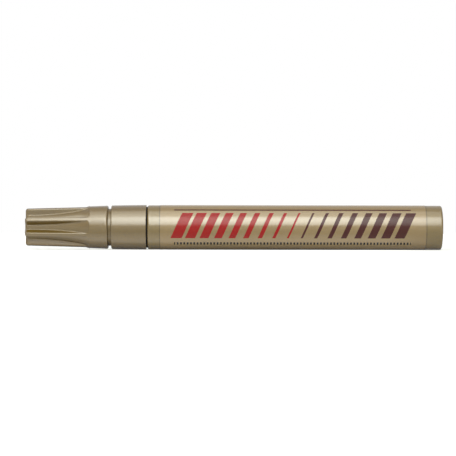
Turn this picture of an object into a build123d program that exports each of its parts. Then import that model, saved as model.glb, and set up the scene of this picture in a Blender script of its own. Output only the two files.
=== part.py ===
from build123d import *
import os
from math import asin, cos, degrees, radians, sin, sqrt, tan

# A capped paint marker. It lies along X with its cap towards -X, and Z is up.
# The origin is on the axis, half way along. All lengths are in millimetres.

# Lengths in a row, from the cap's closed end to the barrel's tail
cap_length = 27.3
neck_gap = 1.0
collar_length = 11.6
seal_thickness = 0.4
barrel_length = 97.6
overall_length = cap_length + neck_gap + collar_length + seal_thickness + barrel_length

# Stations on X that the pieces share
cap_end_x = -overall_length / 2
cap_mouth_x = cap_end_x + cap_length
collar_front_x = cap_mouth_x + neck_gap
collar_rear_x = collar_front_x + collar_length
barrel_mouth_x = collar_rear_x + seal_thickness
barrel_tail_x = barrel_mouth_x + barrel_length

# Fits
press_clearance = 0.02
running_clearance = 0.05
free_clearance = 0.4
cut_overrun = 1.0

# Cap: two tapers that meet where the flutes end
cap_tip_radius = 6.48
cap_band_radius = 6.95
cap_mouth_radius = 7.2
cap_end_wall = 1.4
cap_end_round = 0.28
cap_mouth_round = 0.4
cap_mouth_lead = 0.2

# Flutes: straight walls of one tilt, over a floor that rises along an arc and ends in a ramp
flute_count = 8
flute_length = 21.0
flute_half_angle = 18
flute_wall_tilt = 45
flute_floor_tip_radius = 4.75
flute_floor_arc_radius = 112
flute_floor_round = 0.45
flute_ramp_angle = 18
land_edge_round = 0.45
land_edge_turn = 48
flute_end_x = cap_end_x + flute_length

# Neck, nose and nib
neck_radius = 6.15
neck_in_cap = 5.5
neck_lead = 0.4
nose_length = 8.7
nose_tip_radius = 2.95
nose_tip_length = 1.7
nose_tip_round = 0.35
nose_base_radius = 4.6
nose_side_gap = 0.8
nib_radius = 1.7
nib_exposed = 5.5
nib_point_radius = 0.6
nib_bullet_length = 2.4
neck_front_x = cap_mouth_x - neck_in_cap
nose_front_x = neck_front_x - nose_length
nib_tip_x = nose_front_x - nib_exposed
nib_bore_radius = nib_radius + running_clearance
cap_seat_x = neck_front_x - free_clearance
cap_bore_radius = neck_radius + running_clearance

# Inner cap: a closed liner with a lip that seals on the nose
liner_radius = 3.85
liner_wall = 0.6
liner_lip_length = 1.2
liner_lip_lead = 0.4
liner_floor_x = cap_end_x + cap_end_wall
liner_mouth_x = nose_front_x + liner_lip_length
liner_lip_radius = nose_tip_radius + running_clearance
liner_bore_radius = liner_radius + press_clearance

# Barrel and the spigot that plugs into it
barrel_radius = 7.32
barrel_wall = 0.5
barrel_lip_thickness = 0.9
barrel_mouth_round = 0.6
barrel_tail_wall = 0.8
barrel_tail_round = 1.2
spigot_length = 6.0
spigot_neck_step = 0.57
spigot_lead = 0.5
barrel_inner_radius = barrel_radius - barrel_wall
spigot_neck_radius = barrel_inner_radius - spigot_neck_step
barrel_lip_x = barrel_mouth_x + barrel_lip_thickness
barrel_lip_radius = spigot_neck_radius + press_clearance
barrel_floor_x = barrel_tail_x - barrel_tail_wall
spigot_shoulder_x = barrel_lip_x + press_clearance
spigot_radius = barrel_inner_radius - press_clearance
front_rear_x = barrel_mouth_x + spigot_length

# Collar, seal and film
collar_front_step = 0.02
collar_rear_step = 0.1
collar_front_round = 0.3
collar_rear_round = 0.12
seal_inset = 0.52
seal_round = 0.15
film_thickness = 0.06
film_front_margin = 4.3
film_rear_margin = 5.6
collar_front_radius = cap_mouth_radius + collar_front_step
collar_rear_radius = barrel_radius + collar_rear_step
seal_radius = barrel_radius - seal_inset
film_inner_radius = barrel_radius + press_clearance
film_outer_radius = film_inner_radius + film_thickness

# Valve chamber, seat, stem and cage
chamber_radius = 4.2
chamber_length = 14.5
seat_thickness = 1.5
seat_bore_radius = 2.2
seat_cone_depth = 0.8
stem_reach = 0.5
stem_pin_radius = 1.5
stem_head_radius = 3.2
stem_flange_thickness = 0.9
stem_guide_radius = 1.3
stem_guide_length = 7.8
stem_guide_round = 0.4
cage_wall = 0.6
cage_floor = 1.0
cage_flange_radius = 5.2
cage_flange_thickness = 0.8
cage_port_radius = 1.5
chamber_front_x = front_rear_x - chamber_length
nib_rear_x = chamber_front_x - stem_reach
seat_rear_x = chamber_front_x + seat_thickness
seat_cone_x = seat_rear_x - seat_cone_depth
stem_cone_x = seat_cone_x + 2 * running_clearance - (seat_bore_radius - stem_pin_radius)
stem_head_x = stem_cone_x + stem_head_radius - stem_pin_radius
stem_flange_x = stem_head_x + stem_flange_thickness
insert_radius = chamber_radius - press_clearance
cage_floor_x = front_rear_x - cage_floor
cage_rear_x = front_rear_x + cage_flange_thickness

# Valve spring: an open coil whose two ends stand square on the stem's flange and the cage's floor
wire_diameter = 0.45
coil_radius = 2.3
coil_turns = 6
coil_end_angle = 50
coil_end_rise = 0.8
gap_samples = 600

# Mixing ball, loose at the bottom of the barrel
ball_radius = 3.0


def outline(*corners):
    """Closed half outline for a turned piece. A corner is its place on X, its radius and its rounding."""
    with BuildSketch(Plane.XZ) as half:
        with BuildLine():
            places = [(x, radius) for x, radius, rounding in corners]
            FilletPolyline(*places, radius=[rounding for x, radius, rounding in corners], close=True)
        make_face()
    return half.sketch


def land_radius(x):
    """Radius of the cap's fluted taper at a place on X."""
    return cap_tip_radius + (cap_band_radius - cap_tip_radius) * (x - cap_end_x) / flute_length


def flute_section(x):
    """Section across the flute on top of the cap: two tilted walls with rounded shoulders."""
    radius = land_radius(x)
    half_angle = radians(flute_half_angle)
    tilt = radians(flute_wall_tilt)
    edge = Vector(radius * sin(half_angle), radius * cos(half_angle))
    foot = Vector(0, edge.Y - edge.X * tan(tilt))
    wall_way = Vector(cos(tilt), sin(tilt))
    leave_way = wall_way.rotate(Axis.Z, -land_edge_turn)
    rounding = land_edge_round * radius / cap_tip_radius
    setback = rounding * tan(radians(land_edge_turn) / 2)
    arc_start = edge - wall_way * setback
    arc_end = edge + leave_way * setback
    shelf = arc_end + leave_way * rounding
    top = radius + cut_overrun
    with BuildSketch(Plane.YZ.offset(x)) as section:
        with BuildLine():
            Line(foot, arc_start)
            TangentArc(arc_start, arc_end, tangent=wall_way)
            Polyline(arc_end, shelf, (shelf.X, top), (0, top))
            mirror(about=Plane.YZ)
        make_face()
    return section.sketch


def biarc(start, start_way, finish, finish_way):
    """Two arcs that leave start and reach finish along the given unit directions."""
    chord = finish - start
    ways = start_way + finish_way
    turn = 2 * (1 - start_way.dot(finish_way))
    reach = (sqrt(chord.dot(ways) ** 2 + turn * chord.dot(chord)) - chord.dot(ways)) / turn
    first_corner = start + start_way * reach
    last_corner = finish - finish_way * reach
    middle = (first_corner + last_corner) / 2
    TangentArc(start, middle, tangent=start_way)
    TangentArc(middle, finish, tangent=last_corner - first_corner)


def coil_point(x, angle):
    """Point of the coil's centre line at a place on X and an angle round the axis."""
    return Vector(x, coil_radius * cos(radians(angle)), coil_radius * sin(radians(angle)))


def coil_way(rise_per_turn, angle):
    """Direction of the coil's centre line at an angle round the axis."""
    round_way = Vector(0, -sin(radians(angle)), cos(radians(angle)))
    return (round_way * coil_radius * radians(360) + Vector(rise_per_turn, 0, 0)).normalized()


# Waste of one flute, on top of the cap
with BuildPart() as flute_cutter:
    loft([flute_section(cap_end_x - cut_overrun), flute_section(flute_end_x + cut_overrun)], ruled=True)
    with BuildSketch(Plane.XZ):
        with BuildLine():
            lead_angle = degrees(asin(cut_overrun / flute_floor_arc_radius))
            run_angle = degrees(asin((flute_length + cut_overrun) / flute_floor_arc_radius))
            floor_arc = CenterArc(
                (cap_end_x, flute_floor_tip_radius + flute_floor_arc_radius),
                flute_floor_arc_radius,
                start_angle=270 - lead_angle,
                arc_size=lead_angle + run_angle,
            )
            waste_top = cap_mouth_radius + cut_overrun
            Polyline(
                floor_arc @ 1,
                ((floor_arc @ 1).X, waste_top),
                ((floor_arc @ 0).X, waste_top),
                floor_arc @ 0,
            )
        make_face()
    extrude(amount=cap_mouth_radius, both=True, mode=Mode.INTERSECT)
    flute_floor = flute_cutter.faces().sort_by(Axis.Z)[0]
    fillet(flute_floor.edges().sort_by(SortBy.LENGTH)[-2:], flute_floor_round)
    with BuildSketch(Plane.XZ):
        with BuildLine():
            ramp_length = (cap_band_radius - flute_floor_tip_radius) / tan(radians(flute_ramp_angle))
            kept_x = flute_end_x + 2 * cut_overrun
            kept_radius = cap_mouth_radius + 2 * cut_overrun
            Polyline(
                (flute_end_x - ramp_length, 0),
                (flute_end_x - ramp_length, flute_floor_tip_radius),
                (flute_end_x, cap_band_radius),
                (flute_end_x, kept_radius),
                (kept_x, kept_radius),
                (kept_x, 0),
                close=True,
            )
        make_face()
    revolve(axis=Axis.X, mode=Mode.SUBTRACT)

with BuildPart() as cap_shell:
    half = outline(
        (cap_end_x, 0, 0),
        (cap_end_x, cap_tip_radius, 0),
        (flute_end_x, cap_band_radius, 0),
        (cap_mouth_x, cap_mouth_radius, cap_mouth_round),
        (cap_mouth_x, cap_bore_radius, cap_mouth_lead),
        (cap_seat_x, cap_bore_radius, 0),
        (cap_seat_x, nose_base_radius + nose_side_gap, 0),
        (liner_mouth_x, liner_bore_radius, 0),
        (liner_floor_x, liner_bore_radius, 0),
        (liner_floor_x, 0, 0),
    )
    revolve(half, axis=Axis.X)
    for flute in range(flute_count):
        add(flute_cutter.part, rotation=(flute * 360 / flute_count, 0, 0), mode=Mode.SUBTRACT)
    cap_end = cap_shell.faces().sort_by(Axis.X)[0]
    fillet(cap_end.outer_wire().edges(), cap_end_round)
cap_shell.part.label = "cap_shell"

with BuildPart() as inner_cap:
    half = outline(
        (liner_floor_x, 0, 0),
        (liner_floor_x, liner_radius, 0),
        (liner_mouth_x, liner_radius, 0),
        (liner_mouth_x, liner_lip_radius, 0),
        (nose_front_x, liner_lip_radius, 0),
        (nose_front_x - liner_lip_lead, liner_radius - liner_wall, 0),
        (liner_floor_x + liner_wall, liner_radius - liner_wall, liner_wall),
        (liner_floor_x + liner_wall, 0, 0),
    )
    revolve(half, axis=Axis.X)
inner_cap.part.label = "inner_cap"

with BuildPart() as nib:
    with BuildSketch(Plane.XZ):
        with BuildLine():
            bullet_x = nib_tip_x + nib_bullet_length
            point = CenterArc((nib_tip_x + nib_point_radius, 0), nib_point_radius, 180, -60)
            TangentArc((bullet_x, nib_radius), point @ 1, tangent=(-1, 0))
            Polyline((bullet_x, nib_radius), (nib_rear_x, nib_radius), (nib_rear_x, 0), point @ 0)
        make_face()
    revolve(axis=Axis.X)
nib.part.label = "nib"

# Front section: nose, neck, collar and spigot in one moulding
with BuildPart() as front_section:
    half = outline(
        (nose_front_x, nib_bore_radius, 0),
        (nose_front_x, nose_tip_radius, nose_tip_round),
        (nose_front_x + nose_tip_length, nose_tip_radius, 0),
        (neck_front_x, nose_base_radius, 0),
        (neck_front_x, neck_radius, neck_lead),
        (collar_front_x, neck_radius, 0),
        (collar_front_x, collar_front_radius, collar_front_round),
        (collar_rear_x, collar_rear_radius, collar_rear_round),
        (collar_rear_x, spigot_neck_radius, 0),
        (spigot_shoulder_x, spigot_neck_radius, 0),
        (spigot_shoulder_x, spigot_radius, 0),
        (front_rear_x, spigot_radius, spigot_lead),
        (front_rear_x, chamber_radius, 0),
        (chamber_front_x, chamber_radius, 0),
        (chamber_front_x, nib_bore_radius, 0),
    )
    revolve(half, axis=Axis.X)
front_section.part.label = "front_section"

with BuildPart() as valve_seat:
    half = outline(
        (chamber_front_x, seat_bore_radius, 0),
        (chamber_front_x, insert_radius, 0),
        (seat_rear_x, insert_radius, 0),
        (seat_rear_x, seat_bore_radius + seat_cone_depth, 0),
        (seat_cone_x, seat_bore_radius, 0),
    )
    revolve(half, axis=Axis.X)
valve_seat.part.label = "valve_seat"

with BuildPart() as valve_stem:
    half = outline(
        (nib_rear_x, 0, 0),
        (nib_rear_x, stem_pin_radius, 0),
        (stem_cone_x, stem_pin_radius, 0),
        (stem_head_x, stem_head_radius, 0),
        (stem_flange_x, stem_head_radius, 0),
        (stem_flange_x, stem_guide_radius, 0),
        (stem_flange_x + stem_guide_length, stem_guide_radius, stem_guide_round),
        (stem_flange_x + stem_guide_length, 0, 0),
    )
    revolve(half, axis=Axis.X)
valve_stem.part.label = "valve_stem"

with BuildPart() as valve_cage:
    half = outline(
        (seat_rear_x, insert_radius - cage_wall, 0),
        (seat_rear_x, insert_radius, 0),
        (front_rear_x, insert_radius, 0),
        (front_rear_x, cage_flange_radius, 0),
        (cage_rear_x, cage_flange_radius, 0),
        (cage_rear_x, cage_port_radius, 0),
        (cage_floor_x, cage_port_radius, 0),
        (cage_floor_x, insert_radius - cage_wall, 0),
    )
    revolve(half, axis=Axis.X)
valve_cage.part.label = "valve_cage"

with BuildPart() as valve_spring:
    coil_start_x = stem_flange_x + wire_diameter + coil_end_rise
    coil_stop_x = cage_floor_x - wire_diameter - coil_end_rise
    pitch = (coil_stop_x - coil_start_x) / coil_turns
    last_angle = 360 * coil_turns
    axis_way = Vector(1, 0, 0)
    first_foot = coil_point(stem_flange_x + wire_diameter, -coil_end_angle)
    last_foot = coil_point(cage_floor_x - wire_diameter, last_angle + coil_end_angle)
    with BuildLine() as coil_line:
        Line(coil_point(stem_flange_x, -coil_end_angle), first_foot)
        biarc(first_foot, axis_way, coil_point(coil_start_x, 0), coil_way(pitch, 0))
        for half_turn in range(2 * coil_turns):
            angle = 180 * half_turn
            biarc(
                coil_point(coil_start_x + pitch * half_turn / 2, angle),
                coil_way(pitch, angle),
                coil_point(coil_start_x + pitch * (half_turn + 1) / 2, angle + 180),
                coil_way(pitch, angle + 180),
            )
        biarc(coil_point(coil_stop_x, last_angle), coil_way(pitch, last_angle), last_foot, axis_way)
        Line(last_foot, coil_point(cage_floor_x, last_angle + coil_end_angle))
    with BuildSketch(Plane(origin=coil_line.line @ 0, z_dir=coil_line.line % 0)):
        Circle(wire_diameter / 2)
    sweep()
valve_spring.part.label = "valve_spring"

# Least gap between stretches of the wire that lie half a turn or more apart along it
wire_points = [coil_line.line @ (step / gap_samples) for step in range(gap_samples + 1)]
samples_apart = gap_samples // (2 * coil_turns + 1)
spring_gap = min(
    (wire_points[i] - wire_points[j]).length
    for i in range(gap_samples + 1)
    for j in range(i + samples_apart, gap_samples + 1)
) - wire_diameter
print(f"valve spring's least gap to itself: {spring_gap:.2f} mm")

with BuildPart() as barrel_seal:
    half = outline(
        (collar_rear_x, spigot_neck_radius + press_clearance, 0),
        (collar_rear_x, seal_radius, seal_round),
        (barrel_mouth_x, seal_radius, seal_round),
        (barrel_mouth_x, spigot_neck_radius + press_clearance, 0),
    )
    revolve(half, axis=Axis.X)
barrel_seal.part.label = "barrel_seal"

with BuildPart() as barrel:
    half = outline(
        (barrel_mouth_x, barrel_lip_radius, 0),
        (barrel_mouth_x, barrel_radius, barrel_mouth_round),
        (barrel_tail_x, barrel_radius, barrel_tail_round),
        (barrel_tail_x, 0, 0),
        (barrel_floor_x, 0, 0),
        (barrel_floor_x, barrel_inner_radius, barrel_tail_round - barrel_wall),
        (barrel_lip_x, barrel_inner_radius, 0),
        (barrel_lip_x, barrel_lip_radius, 0),
    )
    revolve(half, axis=Axis.X)
barrel.part.label = "barrel"

with BuildPart() as label_film:
    half = outline(
        (barrel_mouth_x + film_front_margin, film_inner_radius, 0),
        (barrel_mouth_x + film_front_margin, film_outer_radius, 0),
        (barrel_tail_x - film_rear_margin, film_outer_radius, 0),
        (barrel_tail_x - film_rear_margin, film_inner_radius, 0),
    )
    revolve(half, axis=Axis.X)
label_film.part.label = "label_film"

with BuildPart() as mixing_ball:
    ball_x = (cage_rear_x + barrel_floor_x) / 2
    ball_z = ball_radius + running_clearance - barrel_inner_radius
    with Locations((ball_x, 0, ball_z)):
        Sphere(ball_radius)
mixing_ball.part.label = "mixing_ball"

os.makedirs("parts", exist_ok=True)
export_step(cap_shell.part, "parts/cap_shell.step")
export_step(inner_cap.part, "parts/inner_cap.step")
export_step(nib.part, "parts/nib.step")
export_step(front_section.part, "parts/front_section.step")
export_step(valve_seat.part, "parts/valve_seat.step")
export_step(valve_stem.part, "parts/valve_stem.step")
export_step(valve_cage.part, "parts/valve_cage.step")
export_step(valve_spring.part, "parts/valve_spring.step")
export_step(barrel_seal.part, "parts/barrel_seal.step")
export_step(barrel.part, "parts/barrel.step")
export_step(label_film.part, "parts/label_film.step")
export_step(mixing_ball.part, "parts/mixing_ball.step")
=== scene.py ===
from math import atan2, cos, pi, radians, sin, sqrt, tan

import bmesh
import bpy
from bpy.props import FloatProperty, FloatVectorProperty, IntProperty, PointerProperty
from mathutils import Matrix, Vector


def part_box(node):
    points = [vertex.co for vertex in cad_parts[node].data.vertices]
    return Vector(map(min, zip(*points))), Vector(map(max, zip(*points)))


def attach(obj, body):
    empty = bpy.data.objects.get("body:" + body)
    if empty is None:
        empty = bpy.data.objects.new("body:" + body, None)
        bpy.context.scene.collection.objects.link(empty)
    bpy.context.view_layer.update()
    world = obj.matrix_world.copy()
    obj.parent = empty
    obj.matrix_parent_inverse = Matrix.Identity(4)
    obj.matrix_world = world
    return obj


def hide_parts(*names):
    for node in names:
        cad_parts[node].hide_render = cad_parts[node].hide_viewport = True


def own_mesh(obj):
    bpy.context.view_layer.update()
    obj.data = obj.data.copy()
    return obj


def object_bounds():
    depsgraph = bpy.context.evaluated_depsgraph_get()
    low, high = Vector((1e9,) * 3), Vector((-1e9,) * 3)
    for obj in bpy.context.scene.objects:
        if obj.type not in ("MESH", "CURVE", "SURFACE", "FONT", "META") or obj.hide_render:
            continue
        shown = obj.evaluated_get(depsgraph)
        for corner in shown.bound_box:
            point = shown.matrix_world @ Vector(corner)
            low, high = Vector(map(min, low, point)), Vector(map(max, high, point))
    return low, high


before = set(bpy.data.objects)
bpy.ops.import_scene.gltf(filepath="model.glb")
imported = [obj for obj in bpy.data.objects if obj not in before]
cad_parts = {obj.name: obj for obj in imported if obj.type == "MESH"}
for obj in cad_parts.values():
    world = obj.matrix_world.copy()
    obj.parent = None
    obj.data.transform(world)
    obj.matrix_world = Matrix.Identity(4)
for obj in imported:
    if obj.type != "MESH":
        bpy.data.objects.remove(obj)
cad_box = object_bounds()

bl_info = {
    "name": "Paint marker",
    "version": (1, 0, 0),
    "blender": (4, 5, 0),
    "location": "3D View > Sidebar > Marker",
    "description": "Dresses a packed paint marker: fluted cap, collar, lacquered barrel and printed film",
    "category": "Object",
}

# The marker lies along X with its cap towards -X, and Z is up. Lengths are in metres.
MM = 0.001

# Stations and radii that the frame gives
CAP_LOW, CAP_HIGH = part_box("cap_shell")
LINER_LOW, LINER_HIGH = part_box("inner_cap")
NIB_LOW, NIB_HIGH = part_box("nib")
FRONT_LOW, FRONT_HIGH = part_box("front_section")
SEAL_LOW, SEAL_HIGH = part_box("barrel_seal")
BARREL_LOW, BARREL_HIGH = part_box("barrel")
FILM_LOW, FILM_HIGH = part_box("label_film")
SEAT_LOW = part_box("valve_seat")[0]

# Fineness of the turned meshes
TURN_STEPS = 192
NIB_STEPS = 96
STEPS_PER_FLUTE = 45
ROUND_SEGMENTS = 6
SUPPORT = 0.04 * MM
SHORTEST_SUPPORTED = 4 * SUPPORT
MERGE_DISTANCE = 0.001 * MM
SHARP_ANGLE = radians(32)

# Clearances between the pieces
PRESS = 0.02 * MM
RUNNING = 0.05 * MM
FREE = 0.4 * MM

# Colour sockets of a Mix node, whose names repeat for each type of data
MIX_FIRST = 6
MIX_SECOND = 7
MIX_RESULT = 2

# Metal flakes under a clear coat, as both lacquers and the film have them.
# The flakes lie unevenly, so their gold turns dark at a glancing angle.
FLAKE_METALLIC = 0.85
FLAKES_UNDER_COAT = {"Specular IOR Level": 0.1, "Specular Tint": (0.2, 0.2, 0.2, 1), "Coat IOR": 1.8}
RUBBED_COAT = 0.7
# A line of painted shade along the film's edges: the coat there, and the gold's level as a share
EDGE_SHADE_COAT = 0.8
EDGE_SHADE_LEVEL = 0.6
INK_COAT = 0.24

# Finish of the seal and the valve seat
NITRILE = {"roughness": 0.6, "ior": 1.52, "speckle": 0.06, "bump_strength": 0.15, "gloss": 0.2}

WHITE = (1, 1, 1, 1)
CAMERA_NEAR = 10 * MM
CAMERA_FAR = 10000 * MM


def linear(hex_code):
    """Scene-linear RGB of an sRGB hex colour."""
    shares = [int(hex_code[i:i + 2], 16) / 255 for i in (1, 3, 5)]
    return tuple(c / 12.92 if c <= 0.04045 else ((c + 0.055) / 1.055) ** 2.4 for c in shares)


def length(name, description, millimetres):
    """A length that a user can set."""
    return FloatProperty(name=name, description=description, default=millimetres * MM, unit="LENGTH")


def slope(name, description, degrees):
    """An angle that a user can set."""
    return FloatProperty(name=name, description=description, default=radians(degrees), subtype="ANGLE")


def fraction(name, description, default):
    """A share from 0 to 1 that a user can set."""
    return FloatProperty(name=name, description=description, default=default, min=0, max=1, subtype="FACTOR")


def wattage(name, description, watts):
    """A lamp's power that a user can set."""
    return FloatProperty(name=name, description=description, default=watts, unit="POWER")


def tint(name, description, hex_code):
    """A colour that a user can set."""
    return FloatVectorProperty(
        name=name, description=description, default=linear(hex_code), subtype="COLOR", min=0, max=1)


class MarkerCap(bpy.types.PropertyGroup):
    """Sizes of the cap and of the liner in it."""

    tip_radius: length("Tip radius", "Radius over the lands at the closed end", 6.48)
    band_radius: length("Band radius", "Radius where the flutes run out", 7.05)
    mouth_radius: length("Mouth radius", "Radius at the open end", 7.26)
    end_round: length("End rounding", "Rounding round the closed end", 0.7)
    mouth_round: length("Mouth rounding", "Rounding of the lip", 0.65)
    flute_count: IntProperty(name="Flutes", description="Flutes round the cap", default=8, min=3)
    flute_length: length("Flute length", "From the closed end to the run-out", 21.0)
    flute_half_angle: slope("Flute half angle", "Half of a flute's width round the cap", 18)
    wall_tilt: slope("Wall tilt", "Slope of a flute's walls", 50)
    floor_radius: length("Floor radius", "Distance of a flute's floor from the axis at the closed end", 4.75)
    floor_bend: length("Floor bend", "Radius of the arc that the floor rises along", 112)
    ramp_angle: slope("Ramp angle", "Slope of the run-out", 18)
    land_softness: length("Land softness", "Width of the rounding beside a land", 0.16)
    floor_softness: length("Floor softness", "Width of the rounding beside a floor", 0.24)
    band_hollow: length("Band hollow", "Depth of the faint hollow that a flute leaves in the band", 0.1)
    hollow_fade: length("Hollow fade", "Distance from the mouth over which that hollow runs out", 1.0)
    liner_wall: length("Liner wall", "Wall of the liner", 0.6)
    liner_lip_length: length("Liner lip length", "Length of the lip that seals on the nose", 1.2)


class MarkerBody(bpy.types.PropertyGroup):
    """Sizes of the nib, nose, neck, collar, seal, barrel and film."""

    neck_gap: length("Neck gap", "Bare neck between the cap and the collar", 1.0)
    neck_radius: length("Neck radius", "Radius of the neck that carries the cap", 6.15)
    neck_in_cap: length("Neck in cap", "Length of neck that the cap covers", 5.5)
    neck_lead: length("Neck lead", "Rounding that leads the cap onto the neck", 0.4)
    nose_tip_radius: length("Nose tip radius", "Radius of the nose round the nib", 2.95)
    nose_tip_length: length("Nose tip length", "Straight length at the tip of the nose", 1.7)
    nose_tip_round: length("Nose tip rounding", "Rounding of the nose's end", 0.35)
    nose_base_radius: length("Nose base radius", "Radius of the nose at the neck", 4.6)
    collar_front_radius: length("Collar front radius", "Radius of the collar beside the cap", 7.25)
    collar_front_round: length("Collar front rounding", "Rounding beside the cap", 0.36)
    collar_rear_radius: length("Collar rear radius", "Radius of the collar beside the barrel", 7.42)
    collar_rear_round: length("Collar rear rounding", "Rounding beside the seal", 0.06)
    spigot_radius: length("Spigot radius", "Radius of the plug inside the barrel", 6.8)
    spigot_neck_radius: length("Spigot neck radius", "Radius of the plug inside the barrel's lip", 6.25)
    spigot_lead: length("Spigot lead", "Rounding that leads the spigot into the barrel", 0.5)
    chamber_radius: length("Chamber radius", "Radius of the valve chamber", 4.2)
    seal_round: length("Seal rounding", "Rounding of the seal ring", 0.15)
    barrel_wall: length("Barrel wall", "Wall of the barrel", 0.5)
    barrel_lip: length("Barrel lip", "Thickness of the barrel's front lip", 0.9)
    barrel_mouth_round: length("Barrel mouth rounding", "Rounding of the barrel's shoulder", 0.6)
    barrel_tail_wall: length("Barrel tail wall", "Thickness of the tail", 0.8)
    barrel_tail_round: length("Barrel tail rounding", "Rounding round the tail", 0.6)
    # A line of painted shade along each edge of the film
    edge_shade_width: length("Shade width", "Width of the line of grime along the film's edges", 0.3)
    nib_shoulder: fraction("Nib shoulder", "Radius behind the nib's point, as a share of the full one", 0.76)
    nib_point_radius: length("Nib point radius", "Rounding of the nib's point", 0.6)
    nib_bullet_length: length("Nib bullet length", "Length of the nib's rounded end", 2.4)


class MarkerPrint(bpy.types.PropertyGroup):
    """Layout of the print on the unrolled film, measured from its front edge and its middle line."""

    slant: slope("Slant", "Lean of the bars", 24)
    bar_pitch: length("Bar pitch", "Distance from one bar to the next", 4.6)
    bar_wide: length("Wide bar", "Width of the widest bar", 3.7)
    bar_thin: length("Thin bar", "Width of the thinnest bar", 0.5)
    bars_top: length("Bars' top", "Top of the bars above the middle line", 5.2)
    bars_bottom: length("Bars' bottom", "Bottom of the bars below the middle line", -3.7)
    first_bar: length("First bar", "Start of the bars along the film", 4.6)
    last_bar: length("Last bar", "End of the bars along the film", 82.8)
    rule_width: length("Rule width", "Width of the long rule", 0.55)
    rule_gap: length("Rule gap", "Gap between the bars and the rule", 1.1)
    tick_pitch: length("Tick pitch", "Distance from one tick to the next", 1.1)
    tick_length: length("Tick length", "Length of a tick", 1.1)
    tick_gap: length("Tick gap", "Gap between the bars and the ticks", 1.65)


class MarkerColours(bpy.types.PropertyGroup):
    """Colours of the finishes."""

    cap_gold: tint("Cap gold", "Lacquer on the cap and the front section", "#614A05")
    barrel_gold: tint("Barrel gold", "Lacquer on the barrel", "#6B5516")
    film_gold: tint("Film gold", "Metallised film", "#7E6530")
    red_ink: tint("Red ink", "First bars", "#8A100A")
    maroon_ink: tint("Maroon ink", "Last bars and the rule", "#3E1812")
    black_ink: tint("Black ink", "Ticks", "#0C0A08")
    fibre: tint("Fibre", "Nib", "#D8D2C2")
    liner: tint("Liner", "Natural polyethylene", "#E4E2DA")
    valve: tint("Valve", "Natural polypropylene of the stem and the cage", "#F0EEE6")
    rubber: tint("Rubber", "Seal and valve seat", "#161311")
    wire: tint("Wire", "Spring", "#B8B6B2")
    ball: tint("Ball", "Mixing ball", "#C4C3C0")
    lamp: tint("Lamp", "Light of the softbox", "#FBFFF9")
    floor: tint("Floor", "Studio floor", "#F3F3F1")


class MarkerStage(bpy.types.PropertyGroup):
    """Camera, lamps and floor."""

    camera_distance: length("Camera distance", "From the camera to the marker's axis", 700)
    view_width: length("View width", "Width of the picture at the marker's axis", 151.6)
    view_middle: length("View middle", "Middle of the picture along the marker", -1.95)
    view_height: length("View height", "Height of the camera above the marker's axis", -0.186)
    camera_roll: slope("Camera roll", "Lean of the picture", 0.1)
    softbox_power: wattage("Softbox power", "Power of the softbox", 1.37)
    key_power: wattage("Key power", "Power of the lamp in the softbox's middle", 2.35)
    side_power: wattage("Side power", "Power of the lamp beside the softbox", 1.3)
    side_shift: length("Side shift", "Lamp beside the softbox, from its middle", -300)
    softbox_distance: length("Softbox distance", "From the softbox to the marker", 600)
    softbox_height: slope("Softbox height", "Softbox above the horizon", 60)
    key_height: slope("Key height", "The softbox's bright middle above the horizon", 34)
    softbox_length: length("Softbox length", "Side of the softbox along the marker", 305)
    softbox_width: length("Softbox width", "Side of the softbox across the marker", 760)
    key_width: length("Key width", "Side of the softbox's bright middle across the marker", 475)
    room_level: fraction("Room level", "Strength of the room's light", 0.25)
    floor_size: length("Floor size", "Side of the floor", 4000)
    floor_reach: length("Floor reach", "Distance at which the floor is out of the softbox's light", 500)
    floor_glow: fraction("Floor glow", "What the floor adds beside the marker to look white", 0.08)
    # A painted pool of light on the floor in front of the marker, which its lower side reflects
    pool_glow: fraction("Pool glow", "What the lit floor in front of the marker adds in its reflection", 0.75)
    pool_start: length("Pool start", "Start of that lit floor in front of the marker's axis", -4.6)
    pool_middle: length("Pool middle", "Place where it is brightest", -6.2)
    pool_end: length("Pool end", "Place where it has faded", -18)
    pool_fade: length("Pool fade", "Place along the marker from which it fades", 50)
    pool_tail: length("Pool tail", "Place along the marker where it is gone", 68)


def add_node(tree, kind, inputs=(), **settings):
    """Adds a node with its settings, and fills inputs with values or with links from other nodes' outputs."""
    new = tree.nodes.new(kind)
    for name, value in settings.items():
        setattr(new, name, value)
    for key, value in dict(inputs).items():
        if isinstance(value, bpy.types.NodeSocket):
            tree.links.new(value, new.inputs[key])
        else:
            new.inputs[key].default_value = value
    return new


def new_material(name):
    """An empty node material, its tree and its place in the marker's frame."""
    material = bpy.data.materials.new(name)
    material.use_nodes = True
    tree = material.node_tree
    tree.nodes.clear()
    place = add_node(tree, "ShaderNodeTexCoord").outputs["Object"]
    return material, tree, place


def opaque(colour):
    """RGB with a full alpha."""
    return (*colour, 1)


def inside(tree, *spans):
    """Mask of where each value lies between its two limits. A span is a value and its limits."""
    mask = 1.0
    for value, low, high in spans:
        within = add_node(
            tree, "ShaderNodeMath", {0: value, 1: (low + high) / 2, 2: (high - low) / 2}, operation="COMPARE")
        mask = add_node(
            tree, "ShaderNodeMath", {0: mask, 1: within.outputs[0]}, operation="MULTIPLY").outputs[0]
    return mask


def speckled(tree, colour, grain, low, high):
    """Colour whose brightness follows a grain from one level to another. Colour is a value or a socket."""
    level = add_node(tree, "ShaderNodeMapRange", {"Value": grain, "To Min": low, "To Max": high})
    return add_node(
        tree, "ShaderNodeMix", {"Factor": 1.0, MIX_FIRST: colour, MIX_SECOND: level.outputs["Result"]},
        data_type="RGBA", blend_type="MULTIPLY").outputs[MIX_RESULT]


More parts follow.
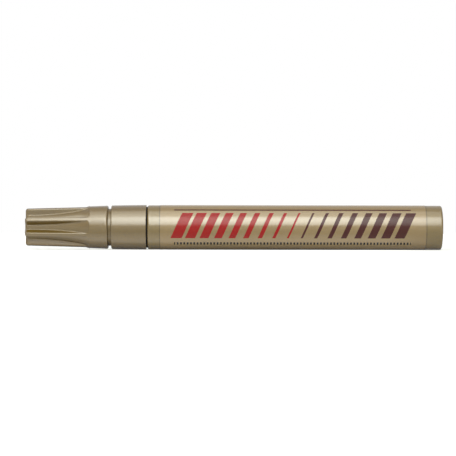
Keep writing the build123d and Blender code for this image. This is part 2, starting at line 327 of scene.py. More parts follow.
def flaked(tree, place, colour, flake_size, contrast):
    """Colour of metal flakes in a lacquer, and the flakes' own grey for a bump."""
    flakes = add_node(tree, "ShaderNodeTexVoronoi", {"Vector": place, "Scale": 1 / flake_size})
    grey = add_node(tree, "ShaderNodeSeparateColor", {"Color": flakes.outputs["Color"]}).outputs["Red"]
    return speckled(tree, colour, grey, 1 - contrast, 1 + contrast), grey


def sprayed_roughness(tree, place, low, high, patch_size):
    """Roughness that drifts between two values over patches, as a sprayed or rolled coat does."""
    patches = add_node(tree, "ShaderNodeTexNoise", {
        "Vector": place, "Scale": 1 / patch_size, "Detail": 3.0, "Roughness": 0.55})
    drift = add_node(
        tree, "ShaderNodeMapRange", {"Value": patches.outputs["Fac"], "To Min": low, "To Max": high})
    return drift.outputs["Result"]


def gold_lacquer_on_plastic(name, colour, rubbed_x):
    """Bronze-flake lacquer on moulded polypropylene: a soft satin with a faint grain and a clear top coat.

    The top coat is duller up to a place on X: on the neck, where the cap rubs, and on the cap's closed end.
    """
    material, tree, place = new_material(name)
    # Flakes of 0.03 mm, drawn at 0.2 mm so that the grain shows
    gold, flakes = flaked(tree, place, opaque(colour), flake_size=0.2 * MM, contrast=0.07)
    bump = add_node(tree, "ShaderNodeBump", {"Height": flakes, "Strength": 0.04, "Distance": 0.02 * MM})
    # Spray drift over about 6 mm
    rough = sprayed_roughness(tree, place, low=0.62, high=0.7, patch_size=6 * MM)
    along = add_node(tree, "ShaderNodeSeparateXYZ", {"Vector": place}).outputs["X"]
    coat = add_node(tree, "ShaderNodeMapRange", {
        "Value": along, "From Min": rubbed_x, "From Max": rubbed_x + SUPPORT,
        "To Min": RUBBED_COAT, "To Max": 1.0})
    shader = add_node(tree, "ShaderNodeBsdfPrincipled", {
        **FLAKES_UNDER_COAT, "Base Color": gold, "Metallic": FLAKE_METALLIC, "Roughness": rough,
        "Normal": bump.outputs["Normal"], "Coat Weight": coat.outputs["Result"], "Coat Roughness": 0.26})
    add_node(tree, "ShaderNodeOutputMaterial", {"Surface": shader.outputs["BSDF"]})
    return material


def gold_lacquer_on_aluminium(name, colour, edge_shade_width):
    """Gold lacquer rolled on a drawn aluminium tube: an even satin, with faint rings from drawing.

    A fine line of painted shade, a darker gold under a weaker coat, runs along both edges of the film.
    """
    material, tree, place = new_material(name)
    # Flakes of 0.03 mm, drawn at 0.16 mm so that the grain shows
    gold = flaked(tree, place, opaque(colour), flake_size=0.16 * MM, contrast=0.05)[0]
    along = add_node(tree, "ShaderNodeSeparateXYZ", {"Vector": place}).outputs["X"]
    # Painted shade just beside each edge of the film: a darker gold under a weaker coat
    front_edge = inside(tree, (along, FILM_LOW.x - edge_shade_width, FILM_LOW.x + SUPPORT))
    rear_edge = inside(tree, (along, FILM_HIGH.x - SUPPORT, FILM_HIGH.x + edge_shade_width))
    edge_shade = add_node(tree, "ShaderNodeMath", {0: front_edge, 1: rear_edge}, operation="MAXIMUM").outputs[0]
    dark_gold = opaque([EDGE_SHADE_LEVEL * channel for channel in colour])
    edge_shaded = add_node(
        tree, "ShaderNodeMix", {"Factor": edge_shade, MIX_FIRST: gold, MIX_SECOND: dark_gold},
        data_type="RGBA").outputs[MIX_RESULT]
    coat = add_node(tree, "ShaderNodeMapRange", {"Value": edge_shade, "To Min": 1.0, "To Max": EDGE_SHADE_COAT})
    # Draw marks about 0.25 mm apart along the tube, and 50 times as long round it
    marks_place = add_node(tree, "ShaderNodeMapping", {"Vector": place, "Scale": (1, 0.02, 0.02)})
    marks = add_node(tree, "ShaderNodeTexNoise", {
        "Vector": marks_place.outputs["Vector"], "Scale": 1 / (0.25 * MM), "Detail": 2.0})
    bump = add_node(
        tree, "ShaderNodeBump", {"Height": marks.outputs["Fac"], "Strength": 0.03, "Distance": 0.02 * MM})
    # Roller drift over about 9 mm
    rough = sprayed_roughness(tree, place, low=0.66, high=0.74, patch_size=9 * MM)
    shader = add_node(tree, "ShaderNodeBsdfPrincipled", {
        **FLAKES_UNDER_COAT, "Base Color": edge_shaded, "Metallic": FLAKE_METALLIC, "Roughness": rough,
        "Normal": bump.outputs["Normal"], "Coat Weight": coat.outputs["Result"], "Coat Roughness": 0.25})
    add_node(tree, "ShaderNodeOutputMaterial", {"Surface": shader.outputs["BSDF"]})
    return material


def film_inks(tree, place, layout):
    """Masks of the red, maroon and black ink, laid out on the unrolled film."""
    axes = add_node(tree, "ShaderNodeSeparateXYZ", {"Vector": place})
    along = add_node(
        tree, "ShaderNodeMath", {0: axes.outputs["X"], 1: FILM_LOW.x}, operation="SUBTRACT").outputs[0]
    front = add_node(tree, "ShaderNodeMath", {0: axes.outputs["Y"], 1: -1.0}, operation="MULTIPLY").outputs[0]
    turn = add_node(tree, "ShaderNodeMath", {0: axes.outputs["Z"], 1: front}, operation="ARCTAN2").outputs[0]
    around = add_node(tree, "ShaderNodeMath", {0: turn, 1: FILM_HIGH.z}, operation="MULTIPLY").outputs[0]

    # Slanted bars that thin out from both ends of the print towards its middle
    half_print = (layout.last_bar - layout.first_bar) / 2
    lean = add_node(
        tree, "ShaderNodeMath", {0: around, 1: -tan(layout.slant), 2: along},
        operation="MULTIPLY_ADD").outputs[0]
    from_first = add_node(
        tree, "ShaderNodeMath", {0: lean, 1: layout.first_bar}, operation="SUBTRACT").outputs[0]
    step = add_node(
        tree, "ShaderNodeMath", {0: from_first, 1: layout.bar_pitch}, operation="FLOORED_MODULO").outputs[0]
    bar_start = add_node(tree, "ShaderNodeMath", {0: from_first, 1: step}, operation="SUBTRACT").outputs[0]
    from_middle = add_node(
        tree, "ShaderNodeMath", {0: bar_start, 1: half_print}, operation="SUBTRACT").outputs[0]
    reach = add_node(tree, "ShaderNodeMath", {0: from_middle}, operation="ABSOLUTE").outputs[0]
    half_width = add_node(tree, "ShaderNodeMapRange", {
        "Value": reach, "From Max": half_print,
        "To Min": layout.bar_thin / 2, "To Max": layout.bar_wide / 2}).outputs["Result"]
    bar = add_node(
        tree, "ShaderNodeMath", {0: step, 1: layout.bar_pitch / 2, 2: half_width},
        operation="COMPARE").outputs[0]
    height = (around, layout.bars_bottom, layout.bars_top)
    # A bar starts at the print's front end and none at its rear end, so both limits have a little room
    first_half = inside(tree, height, (bar_start, -MERGE_DISTANCE, half_print))
    last_half = inside(tree, height, (bar_start, half_print, 2 * half_print - MERGE_DISTANCE))
    red = add_node(tree, "ShaderNodeMath", {0: bar, 1: first_half}, operation="MULTIPLY").outputs[0]
    maroon_bars = add_node(tree, "ShaderNodeMath", {0: bar, 1: last_half}, operation="MULTIPLY").outputs[0]

    # A long rule above the bars and a row of ticks below them
    whole_print = (along, layout.first_bar, layout.last_bar)
    rule_low = layout.bars_top + layout.rule_gap
    rule = inside(tree, whole_print, (around, rule_low, rule_low + layout.rule_width))
    maroon = add_node(tree, "ShaderNodeMath", {0: maroon_bars, 1: rule}, operation="MAXIMUM").outputs[0]
    tick_step = add_node(
        tree, "ShaderNodeMath", {0: along, 1: layout.tick_pitch}, operation="FLOORED_MODULO").outputs[0]
    tick_top = layout.bars_bottom - layout.tick_gap
    tick_width = (tick_step, 0, layout.tick_pitch / 2)
    tick_height = (around, tick_top - layout.tick_length, tick_top)
    black = inside(tree, whole_print, tick_width, tick_height)
    return red, maroon, black


def printed_film(name, colours, layout):
    """Metallised polyester film with matt inks: brighter than the lacquer, and the inks cover its metal."""
    material, tree, place = new_material(name)
    red, maroon, black = film_inks(tree, place, layout)
    printed = opaque(colours.film_gold)
    inked = 0.0
    for mask, ink in ((red, colours.red_ink), (maroon, colours.maroon_ink), (black, colours.black_ink)):
        printed = add_node(
            tree, "ShaderNodeMix", {"Factor": mask, MIX_FIRST: printed, MIX_SECOND: opaque(ink)},
            data_type="RGBA").outputs[MIX_RESULT]
        inked = add_node(tree, "ShaderNodeMath", {0: inked, 1: mask}, operation="MAXIMUM").outputs[0]
    # Metal grain of 0.02 mm, drawn at 0.14 mm so that it shows
    grained, grain = flaked(tree, place, printed, flake_size=0.14 * MM, contrast=0.05)
    bump = add_node(tree, "ShaderNodeBump", {"Height": grain, "Strength": 0.03, "Distance": 0.02 * MM})
    # Drift over about 12 mm
    rough = sprayed_roughness(tree, place, low=0.7, high=0.78, patch_size=12 * MM)
    metal = add_node(tree, "ShaderNodeMapRange", {"Value": inked, "To Min": FLAKE_METALLIC, "To Max": 0.0})
    coat = add_node(tree, "ShaderNodeMapRange", {"Value": inked, "To Min": 1.0, "To Max": INK_COAT})
    shader = add_node(tree, "ShaderNodeBsdfPrincipled", {
        **FLAKES_UNDER_COAT, "Base Color": grained, "Metallic": metal.outputs["Result"], "Roughness": rough,
        "Normal": bump.outputs["Normal"], "Coat Weight": coat.outputs["Result"], "Coat Roughness": 0.25})
    add_node(tree, "ShaderNodeOutputMaterial", {"Surface": shader.outputs["BSDF"]})
    return material


def bonded_fibre(name, colour):
    """Bonded acrylic fibres: matt, with fine strands along the nib."""
    material, tree, place = new_material(name)
    # Strands about 0.12 mm wide and 3 mm long
    strands_place = add_node(tree, "ShaderNodeMapping", {"Vector": place, "Scale": (0.04, 1, 1)})
    strands = add_node(tree, "ShaderNodeTexNoise", {
        "Vector": strands_place.outputs["Vector"], "Scale": 1 / (0.12 * MM), "Detail": 3.0}).outputs["Fac"]
    stranded = speckled(tree, opaque(colour), strands, low=0.78, high=1.06)
    bump = add_node(tree, "ShaderNodeBump", {"Height": strands, "Strength": 0.4, "Distance": 0.06 * MM})
    shader = add_node(tree, "ShaderNodeBsdfPrincipled", {
        "Base Color": stranded, "Roughness": 0.85, "Normal": bump.outputs["Normal"],
        "Sheen Weight": 0.2, "Sheen Roughness": 0.5})
    add_node(tree, "ShaderNodeOutputMaterial", {"Surface": shader.outputs["BSDF"]})
    return material


def moulded(name, colour, roughness, ior, speckle, bump_strength, subsurface=0.0, gloss=0.5):
    """Moulded plastic or rubber: a fine even grain from the tool, and milky depth in a translucent resin."""
    material, tree, place = new_material(name)
    # Tool grain of about 0.15 mm
    grain = add_node(
        tree, "ShaderNodeTexNoise", {"Vector": place, "Scale": 1 / (0.15 * MM), "Detail": 2.0}).outputs["Fac"]
    grained = speckled(tree, opaque(colour), grain, 1 - speckle, 1 + speckle)
    bump = add_node(
        tree, "ShaderNodeBump", {"Height": grain, "Strength": bump_strength, "Distance": 0.03 * MM})
    shader = add_node(tree, "ShaderNodeBsdfPrincipled", {
        "Base Color": grained, "Roughness": roughness, "IOR": ior, "Specular IOR Level": gloss,
        "Normal": bump.outputs["Normal"],
        "Subsurface Weight": subsurface, "Subsurface Radius": (1, 0.9, 0.8), "Subsurface Scale": 0.8 * MM})
    add_node(tree, "ShaderNodeOutputMaterial", {"Surface": shader.outputs["BSDF"]})
    return material


def bright_steel(name, colour, smoothest, roughest, mark_size):
    """Drawn or polished steel: a mirror that its fine marks soften unevenly."""
    material, tree, place = new_material(name)
    marks = add_node(
        tree, "ShaderNodeTexNoise", {"Vector": place, "Scale": 1 / mark_size, "Detail": 2.0}).outputs["Fac"]
    rough = add_node(tree, "ShaderNodeMapRange", {"Value": marks, "To Min": smoothest, "To Max": roughest})
    bump = add_node(tree, "ShaderNodeBump", {"Height": marks, "Strength": 0.03, "Distance": 0.02 * MM})
    shader = add_node(tree, "ShaderNodeBsdfPrincipled", {
        "Base Color": opaque(colour), "Metallic": 1.0, "Roughness": rough.outputs["Result"],
        "Normal": bump.outputs["Normal"]})
    add_node(tree, "ShaderNodeOutputMaterial", {"Surface": shader.outputs["BSDF"]})
    return material


def half_outline(corners):
    """Closed half outline in the XZ plane. A corner is its place on X, its radius and its rounding."""
    bm = bmesh.new()
    verts = [bm.verts.new((x, 0, radius)) for x, radius, rounding in corners]
    for start, end in zip(verts, verts[1:] + verts[:1]):
        if max(start.co.z, end.co.z) > 0:
            bm.edges.new((start, end))
    for vert, (x, radius, rounding) in zip(verts, corners):
        if rounding:
            bmesh.ops.bevel(
                bm, geom=[vert], offset=rounding, offset_type="OFFSET", segments=ROUND_SEGMENTS, profile=0.5,
                affect="VERTICES", material=-1)
    return bm


def add_supports(bm):
    """Adds a point just inside both ends of each long line, which keeps the roundings' shading off it."""
    for edge in bm.edges[:]:
        run = edge.calc_length()
        if run > SHORTEST_SUPPORTED:
            first, last = edge.verts
            near = bmesh.utils.edge_split(edge, first, SUPPORT / run)[1]
            long_edge = next(e for e in last.link_edges if near in e.verts)
            bmesh.utils.edge_split(long_edge, last, SUPPORT / (run - SUPPORT))


def spin(bm, steps=TURN_STEPS):
    """Turns a half outline once round X and closes it."""
    bmesh.ops.spin(
        bm, geom=bm.verts[:] + bm.edges[:], cent=(0, 0, 0), axis=(1, 0, 0), angle=2 * pi, steps=steps,
        use_merge=True)
    bmesh.ops.remove_doubles(bm, verts=bm.verts[:], dist=MERGE_DISTANCE)
    bmesh.ops.recalc_face_normals(bm, faces=bm.faces[:])


def to_piece(bm, name, material, body, node):
    """Smooth-shaded object of a mesh that stands for a CAD node and moves with its body."""
    for face in bm.faces:
        face.smooth = True
    for edge in bm.edges:
        edge.smooth = edge.calc_face_angle(0) < SHARP_ANGLE
    mesh = bpy.data.meshes.new(name)
    bm.to_mesh(mesh)
    bm.free()
    mesh.materials.append(material)
    piece = bpy.data.objects.new(name, mesh)
    bpy.context.scene.collection.objects.link(piece)
    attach(piece, body)
    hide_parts(node)
    return piece


def soft_min(first, second, width):
    """The smaller of two values, with a rounded change from one to the other."""
    overlap = max(width - abs(first - second), 0) / width
    return min(first, second) - overlap * overlap * width / 4


def land_radius(sizes, along):
    """Radius of the fluted taper at a distance from the closed end."""
    return sizes.tip_radius + (sizes.band_radius - sizes.tip_radius) * along / sizes.flute_length


def fluted_radius(sizes, along, turn):
    """Radius of the cap's outside at a distance from the closed end and an angle from a flute's middle."""
    land = land_radius(sizes, along)
    tilt = tan(sizes.wall_tilt)
    edge_y = land * sin(sizes.flute_half_angle)
    edge_z = land * cos(sizes.flute_half_angle)
    wall = (edge_z - edge_y * tilt) / (cos(turn) - sin(turn) * tilt)
    rise = sizes.floor_bend - sqrt(sizes.floor_bend ** 2 - along ** 2)
    floor = sizes.floor_radius + rise
    ramp = sizes.band_radius - (sizes.flute_length - along) * tan(sizes.ramp_angle)
    groove = soft_min(land, -soft_min(-floor, -wall, sizes.floor_softness), sizes.land_softness)
    return min(land, -soft_min(-groove, -ramp, sizes.floor_softness))


class MARKER_OT_cap(bpy.types.Operator):
    """Turns the cap, presses its flutes and lacquers it"""

    bl_idname = "marker.cap"
    bl_label = "Fluted cap"

    flute_cuts: IntProperty(name="Flute cuts", description="Rings along the flutes", default=64, min=8)
    band_cuts: IntProperty(name="Band cuts", description="Rings along the band", default=8, min=1)

    def execute(self, context):
        sizes = context.scene.marker_cap
        body = context.scene.marker_body
        bore = body.neck_radius + RUNNING
        funnel = body.nose_base_radius + 2 * FREE
        bm = self.turn_shell(sizes, body, bore, funnel)
        self.press_flutes(bm, sizes, funnel + FREE)
        lacquer = gold_lacquer_on_plastic(
            "satin_gold_lacquer_cap", context.scene.marker_colours.cap_gold, CAP_LOW.x)
        to_piece(bm, "fluted_cap", lacquer, "cap", "cap_shell")
        return {"FINISHED"}

    def turn_shell(self, sizes, body, bore, funnel):
        """The plain cap, with rings close enough along its outside to press the flutes and the hollows."""
        run_out_x = CAP_LOW.x + sizes.flute_length
        seat_x = CAP_HIGH.x - body.neck_in_cap - FREE
        liner_bore = LINER_HIGH.z + PRESS
        bm = half_outline((
            (CAP_LOW.x, 0, 0),
            (CAP_LOW.x, sizes.tip_radius, sizes.end_round),
            (run_out_x, sizes.band_radius, 0),
            (CAP_HIGH.x, sizes.mouth_radius, sizes.mouth_round),
            (CAP_HIGH.x, bore, sizes.mouth_round / 2),
            (seat_x, bore, 0),
            (seat_x, funnel, 0),
            (LINER_HIGH.x, liner_bore, 0),
            (LINER_LOW.x, liner_bore, 0),
            (LINER_LOW.x, 0, 0),
        ))
        fluted_lines = [
            edge for edge in bm.edges
            if edge.calc_length() > sizes.flute_length / 2
            and min(v.co.z for v in edge.verts) > liner_bore + FREE]
        bmesh.ops.subdivide_edges(bm, edges=fluted_lines, cuts=self.flute_cuts)
        band_lines = [
            edge for edge in bm.edges
            if min(v.co.x for v in edge.verts) > run_out_x - MERGE_DISTANCE
            and edge.calc_length() > sizes.hollow_fade
            and min(v.co.z for v in edge.verts) > bore + FREE]
        bmesh.ops.subdivide_edges(bm, edges=band_lines, cuts=self.band_cuts)
        run_out_place = Vector((run_out_x, 0, sizes.band_radius))
        run_out = min(bm.verts, key=lambda vert: (vert.co - run_out_place).length)
        for edge in run_out.link_edges[:]:
            bmesh.utils.edge_split(edge, run_out, SUPPORT / edge.calc_length())
        spin(bm, STEPS_PER_FLUTE * sizes.flute_count)
        return bm

    def press_flutes(self, bm, sizes, inside_radius):
        """Draws the outside in along the flutes, and faintly in the band behind each of them."""
        pitch = 2 * pi / sizes.flute_count
        for vert in bm.verts:
            along = vert.co.x - CAP_LOW.x
            radius = sqrt(vert.co.y ** 2 + vert.co.z ** 2)
            turn = abs((atan2(vert.co.y, vert.co.z) + pitch / 2) % pitch - pitch / 2)
            outside = radius > inside_radius or (radius > 0 and along < sizes.end_round)
            drawn_in = 1
            if outside and 0 <= along < sizes.flute_length:
                drawn_in = fluted_radius(sizes, along, turn) / land_radius(sizes, along)
            elif along >= sizes.flute_length and radius > sizes.band_radius - MERGE_DISTANCE:
                fade = min((CAP_HIGH.x - vert.co.x) / sizes.hollow_fade, 1)
                hollow = sizes.band_hollow * fade * max(1 - (turn / sizes.flute_half_angle) ** 2, 0)
                drawn_in = 1 - hollow / radius
            vert.co.y *= drawn_in
            vert.co.z *= drawn_in


class MARKER_OT_liner(bpy.types.Operator):
    """Turns the liner that seals on the nose"""

    bl_idname = "marker.liner"
    bl_label = "Cap liner"

    def execute(self, context):
        sizes = context.scene.marker_cap
        body = context.scene.marker_body
        inner = LINER_HIGH.z - sizes.liner_wall
        lip = body.nose_tip_radius + RUNNING
        lip_x = LINER_HIGH.x - sizes.liner_lip_length
        floor_x = LINER_LOW.x + sizes.liner_wall
        bm = half_outline((
            (LINER_LOW.x, 0, 0),
            (LINER_LOW.x, LINER_HIGH.z, 0),
            (LINER_HIGH.x, LINER_HIGH.z, 0),
            (LINER_HIGH.x, lip, 0),
            (lip_x, lip, 0),
            (lip_x - FREE, inner, 0),
            (floor_x, inner, sizes.liner_wall),
            (floor_x, 0, 0),
        ))
        add_supports(bm)
        spin(bm)
        resin = moulded(
            "natural_polyethylene", context.scene.marker_colours.liner, roughness=0.38, ior=1.49,
            speckle=0.02, bump_strength=0.05, subsurface=0.6)
        to_piece(bm, "cap_liner", resin, "cap", "inner_cap")
        return {"FINISHED"}


class MARKER_OT_nib(bpy.types.Operator):
    """Turns the bullet nib"""

    bl_idname = "marker.nib"
    bl_label = "Bullet nib"

    def execute(self, context):
        body = context.scene.marker_body
        bullet_x = NIB_LOW.x + body.nib_bullet_length
        bm = half_outline((
            (NIB_LOW.x, 0, 0),
            (NIB_LOW.x, body.nib_point_radius, body.nib_point_radius / 2),
            (NIB_LOW.x + body.nib_point_radius, NIB_HIGH.z * body.nib_shoulder, body.nib_point_radius),
            (bullet_x, NIB_HIGH.z, body.nib_point_radius),
            (NIB_HIGH.x, NIB_HIGH.z, 0),
            (NIB_HIGH.x, 0, 0),
        ))
        spin(bm, NIB_STEPS)
        fibre = bonded_fibre("bonded_acrylic_fibre", context.scene.marker_colours.fibre)
        to_piece(bm, "bullet_nib", fibre, "pump", "nib")
        return {"FINISHED"}


class MARKER_OT_front(bpy.types.Operator):
    """Turns the front section: nose, neck, collar and spigot"""

    bl_idname = "marker.front"
    bl_label = "Front section"

    def execute(self, context):
        body = context.scene.marker_body
        neck_front_x = CAP_HIGH.x - body.neck_in_cap
        collar_front_x = CAP_HIGH.x + body.neck_gap
        collar_rear_x = SEAL_LOW.x
        shoulder_x = BARREL_LOW.x + body.barrel_lip + PRESS
        nib_bore = NIB_HIGH.z + RUNNING
        bm = half_outline((
            (FRONT_LOW.x, nib_bore, 0),
            (FRONT_LOW.x, body.nose_tip_radius, body.nose_tip_round),
            (FRONT_LOW.x + body.nose_tip_length, body.nose_tip_radius, 0),
            (neck_front_x, body.nose_base_radius, 0),
            (neck_front_x, body.neck_radius, body.neck_lead),
            (collar_front_x, body.neck_radius, 0),
            (collar_front_x, body.collar_front_radius, body.collar_front_round),
            (collar_rear_x, body.collar_rear_radius, body.collar_rear_round),
            (collar_rear_x, body.spigot_neck_radius, 0),
            (shoulder_x, body.spigot_neck_radius, 0),
            (shoulder_x, body.spigot_radius, 0),
            (FRONT_HIGH.x, body.spigot_radius, body.spigot_lead),
            (FRONT_HIGH.x, body.chamber_radius, 0),
            (SEAT_LOW.x, body.chamber_radius, 0),
            (SEAT_LOW.x, nib_bore, 0),
        ))
        add_supports(bm)
        spin(bm)
        lacquer = gold_lacquer_on_plastic(
            "satin_gold_lacquer_collar", context.scene.marker_colours.cap_gold, collar_front_x)
        to_piece(bm, "nose_and_collar", lacquer, "barrel_body", "front_section")
        return {"FINISHED"}


class MARKER_OT_barrel(bpy.types.Operator):
    """Turns the barrel and the seal ring in front of it"""

    bl_idname = "marker.barrel"
    bl_label = "Barrel and seal"

    def execute(self, context):
        body = context.scene.marker_body
        colours = context.scene.marker_colours
        lip_radius = body.spigot_neck_radius + PRESS
        lip_x = BARREL_LOW.x + body.barrel_lip
        inner = BARREL_HIGH.z - body.barrel_wall
        floor_x = BARREL_HIGH.x - body.barrel_tail_wall
        bm = half_outline((
            (BARREL_LOW.x, lip_radius, 0),
            (BARREL_LOW.x, BARREL_HIGH.z, body.barrel_mouth_round),
            (BARREL_HIGH.x, BARREL_HIGH.z, body.barrel_tail_round),
            (BARREL_HIGH.x, 0, 0),
            (floor_x, 0, 0),
            (floor_x, inner, body.barrel_tail_round - body.barrel_wall),
            (lip_x, inner, 0),
            (lip_x, lip_radius, 0),
        ))
        add_supports(bm)
        spin(bm)
        lacquer = gold_lacquer_on_aluminium("gold_lacquered_aluminium", colours.barrel_gold, body.edge_shade_width)
        to_piece(bm, "drawn_barrel", lacquer, "barrel_body", "barrel")

        bm = half_outline((
            (SEAL_LOW.x, lip_radius, 0),
            (SEAL_LOW.x, SEAL_HIGH.z, body.seal_round),
            (SEAL_HIGH.x, SEAL_HIGH.z, body.seal_round),
            (SEAL_HIGH.x, lip_radius, 0),
        ))
        spin(bm)
        rubber = moulded("nitrile_rubber", colours.rubber, **NITRILE)
        to_piece(bm, "seal_ring", rubber, "barrel_body", "barrel_seal")
        return {"FINISHED"}


class MARKER_OT_film(bpy.types.Operator):
    """Wraps the printed film round the barrel"""

    bl_idname = "marker.film"
    bl_label = "Printed film"

    def execute(self, context):
        film_inner = BARREL_HIGH.z + PRESS
        edge_round = (FILM_HIGH.z - film_inner) / 2
        bm = half_outline((
            (FILM_LOW.x, film_inner, 0),
            (FILM_LOW.x, FILM_HIGH.z, edge_round),
            (FILM_HIGH.x, FILM_HIGH.z, edge_round),
            (FILM_HIGH.x, film_inner, 0),
        ))
        add_supports(bm)
        spin(bm)
        colours = context.scene.marker_colours
        film = printed_film("printed_metallised_film", colours, context.scene.marker_print)
        to_piece(bm, "printed_film", film, "barrel_body", "label_film")
        return {"FINISHED"}


class MARKER_OT_valve(bpy.types.Operator):
    """Finishes the valve and the mixing ball, which keep their CAD shapes, and winds the spring"""

    bl_idname = "marker.valve"
    bl_label = "Valve and ball"

    def execute(self, context):
        colours = context.scene.marker_colours
        resin = moulded(
            "natural_polypropylene", colours.valve, roughness=0.32, ior=1.48, speckle=0.02,
            bump_strength=0.05, subsurface=0.15)
        rubber = moulded("nitrile_rubber_seat", colours.rubber, **NITRILE)
        # Draw marks of 0.1 mm on the wire, and polishing marks of 0.3 mm on the ball
        wire = bright_steel(
            "drawn_stainless_wire", colours.wire, smoothest=0.175, roughest=0.325, mark_size=0.1 * MM)
        bearing = bright_steel(
            "polished_bearing_steel", colours.ball, smoothest=0.084, roughest=0.156, mark_size=0.3 * MM)
        finishes = {"valve_stem": resin, "valve_cage": resin, "valve_seat": rubber, "mixing_ball": bearing}
        for node, finish in finishes.items():
            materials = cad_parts[node].data.materials
            materials.clear()
            materials.append(finish)
        self.wind_spring(wire)
        return {"FINISHED"}

    def wind_spring(self, wire):
        """The CAD spring's coil, as a piece of its own that moves with the pump, with its front end on the
        stem.
        """
        bm = bmesh.new()
        bm.from_mesh(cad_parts["valve_spring"].data)
        bmesh.ops.remove_doubles(bm, verts=bm.verts[:], dist=MERGE_DISTANCE)
        spring = to_piece(bm, "coil_spring", wire, "pump", "valve_spring")
        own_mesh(spring)


class MARKER_OT_stage(bpy.types.Operator):
    """Lays the floor, lights the marker and sets the camera"""

    bl_idname = "marker.stage"
    bl_label = "Studio"

    def execute(self, context):
        stage = context.scene.marker_stage
        self.lay_floor(context, stage)
        self.light_room(context, stage)
        lamps = (
            ("softbox", 0, stage.softbox_height, stage.softbox_width, stage.softbox_power),
            ("softbox_middle", 0, stage.key_height, stage.key_width, stage.key_power),
            ("softbox_side", stage.side_shift, stage.softbox_height, stage.key_width, stage.side_power))
        for lamp in lamps:
            self.hang_lamp(context, stage, *lamp)
        self.set_camera(context, stage)
        context.scene.view_settings.view_transform = "Standard"
        return {"FINISHED"}

    def seen_rays(self, tree):
        """1 for rays that show the backdrop, in metal and glass too, and 0 for those that give light."""
        path = add_node(tree, "ShaderNodeLightPath")
        mirror = add_node(
            tree, "ShaderNodeMath", {0: path.outputs["Is Camera Ray"], 1: path.outputs["Is Glossy Ray"]},
            operation="ADD").outputs[0]
        return add_node(
            tree, "ShaderNodeMath", {0: mirror, 1: path.outputs["Is Transmission Ray"]}, operation="ADD",
            use_clamp=True).outputs[0]

    def floor_level(self, tree, place, stage):
        """The floor's own glow: white far away, faint near the marker, and a painted pool of light in front
        of it.
        """
        away = add_node(tree, "ShaderNodeVectorMath", {0: place}, operation="LENGTH").outputs["Value"]
        far = add_node(tree, "ShaderNodeMapRange", {
            "Value": away, "From Max": stage.floor_reach, "To Min": stage.floor_glow, "To Max": 1.0})
        axes = add_node(tree, "ShaderNodeSeparateXYZ", {"Vector": place})
        # A painted pool of light in front of the marker, fading out towards the tail
        lit = add_node(tree, "ShaderNodeMapRange", {
            "Value": axes.outputs["Y"], "From Min": stage.pool_start, "From Max": stage.pool_middle})
        fading = add_node(tree, "ShaderNodeMapRange", {
            "Value": axes.outputs["Y"], "From Min": stage.pool_end, "From Max": stage.pool_middle,
            "To Max": stage.pool_glow})
        past_film = add_node(tree, "ShaderNodeMapRange", {
            "Value": axes.outputs["X"], "From Min": stage.pool_fade, "From Max": stage.pool_tail,
            "To Min": 1.0, "To Max": 0.0})
        beside = add_node(
            tree, "ShaderNodeMath", {0: lit.outputs["Result"], 1: fading.outputs["Result"]},
            operation="MULTIPLY").outputs[0]
        pool = add_node(
            tree, "ShaderNodeMath", {0: beside, 1: past_film.outputs["Result"]},
            operation="MULTIPLY").outputs[0]
        return add_node(
            tree, "ShaderNodeMath", {0: far.outputs["Result"], 1: pool}, operation="ADD").outputs[0]

    def lay_floor(self, context, stage):
        """A pale floor under the marker, which looks white in the picture and keeps the shadow."""
        bm = bmesh.new()
        bmesh.ops.create_grid(bm, x_segments=1, y_segments=1, size=stage.floor_size / 2)
        bmesh.ops.translate(bm, verts=bm.verts[:], vec=(0, 0, cad_box[0].z))
        mesh = bpy.data.meshes.new("studio_floor")
        bm.to_mesh(mesh)
        bm.free()
        material, tree, place = new_material("pale_studio_floor")
        paint = add_node(tree, "ShaderNodeBsdfDiffuse", {"Color": opaque(context.scene.marker_colours.floor)})
        strength = add_node(
            tree, "ShaderNodeMath", {0: self.seen_rays(tree), 1: self.floor_level(tree, place, stage)},
            operation="MULTIPLY").outputs[0]
        glow = add_node(tree, "ShaderNodeEmission", {"Strength": strength})
        both = add_node(tree, "ShaderNodeAddShader", {0: paint.outputs[0], 1: glow.outputs[0]})
        add_node(tree, "ShaderNodeOutputMaterial", {"Surface": both.outputs[0]})
        mesh.materials.append(material)
        floor = bpy.data.objects.new("studio_floor", mesh)
        context.scene.collection.objects.link(floor)

    def light_room(self, context, stage):
        """An even room that looks white in the picture and lights the marker at its own level."""
        world = bpy.data.worlds.new("studio_room")
        world.use_nodes = True
        tree = world.node_tree
        tree.nodes.clear()
        strength = add_node(tree, "ShaderNodeMapRange", {
            "Value": self.seen_rays(tree), "To Min": stage.room_level, "To Max": 1.0}).outputs["Result"]
        room = add_node(tree, "ShaderNodeBackground", {"Color": WHITE, "Strength": strength})
        add_node(tree, "ShaderNodeOutputWorld", {"Surface": room.outputs[0]})
        context.scene.world = world

    def hang_lamp(self, context, stage, name, along, height, width, power):
        """A lamp of the softbox, which hangs in front of the marker and above it."""
        lamp = bpy.data.lights.new(name, "AREA")
        lamp.shape = "RECTANGLE"
        lamp.size = stage.softbox_length
        lamp.size_y = width
        lamp.energy = power
        lamp.color = context.scene.marker_colours.lamp
        box = bpy.data.objects.new(name, lamp)
        way = Vector((0, -cos(height), sin(height))) * stage.softbox_distance + Vector((along, 0, 0))
        box.location = way
        box.rotation_euler = way.to_track_quat("Z", "Y").to_euler()
        context.scene.collection.objects.link(box)

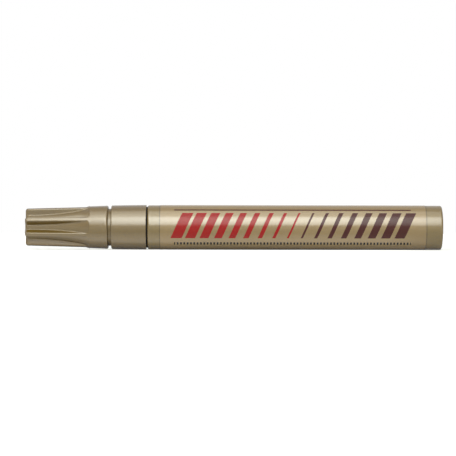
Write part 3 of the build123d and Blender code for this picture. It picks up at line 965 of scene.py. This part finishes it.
    def set_camera(self, context, stage):
        """A level camera square on to the marker's side."""
        lens = bpy.data.cameras.new("camera")
        lens.lens = lens.sensor_width * stage.camera_distance / stage.view_width
        lens.clip_start = CAMERA_NEAR
        lens.clip_end = CAMERA_FAR
        camera = bpy.data.objects.new("camera", lens)
        turn = Matrix.Rotation(pi / 2, 4, "X") @ Matrix.Rotation(stage.camera_roll, 4, "Z")
        place = Matrix.Translation((stage.view_middle, -stage.camera_distance, stage.view_height))
        camera.matrix_world = place @ turn
        context.scene.collection.objects.link(camera)
        context.scene.camera = camera


class MARKER_PT_panel(bpy.types.Panel):
    """Sizes, colours and steps of the marker"""

    bl_idname = "MARKER_PT_panel"
    bl_label = "Paint marker"
    bl_space_type = "VIEW_3D"
    bl_region_type = "UI"
    bl_category = "Marker"

    def draw(self, context):
        for group, name in GROUPS.items():
            box = self.layout.box()
            for setting in group.__annotations__:
                box.prop(getattr(context.scene, name), setting)
        for step in STEPS:
            self.layout.operator(step.bl_idname)


GROUPS = {
    MarkerCap: "marker_cap",
    MarkerBody: "marker_body",
    MarkerPrint: "marker_print",
    MarkerColours: "marker_colours",
    MarkerStage: "marker_stage",
}
STEPS = (
    MARKER_OT_cap,
    MARKER_OT_liner,
    MARKER_OT_nib,
    MARKER_OT_front,
    MARKER_OT_barrel,
    MARKER_OT_film,
    MARKER_OT_valve,
    MARKER_OT_stage,
)


def register():
    for group, name in GROUPS.items():
        bpy.utils.register_class(group)
        setattr(bpy.types.Scene, name, PointerProperty(type=group))
    for step in STEPS:
        bpy.utils.register_class(step)
    bpy.utils.register_class(MARKER_PT_panel)


def unregister():
    bpy.utils.unregister_class(MARKER_PT_panel)
    for step in reversed(STEPS):
        bpy.utils.unregister_class(step)
    for group, name in reversed(GROUPS.items()):
        delattr(bpy.types.Scene, name)
        bpy.utils.unregister_class(group)


def main():
    register()
    bpy.ops.marker.cap()
    bpy.ops.marker.liner()
    bpy.ops.marker.nib()
    bpy.ops.marker.front()
    bpy.ops.marker.barrel()
    bpy.ops.marker.film()
    bpy.ops.marker.valve()
    bpy.ops.marker.stage()


if __name__ == "__main__":
    main()
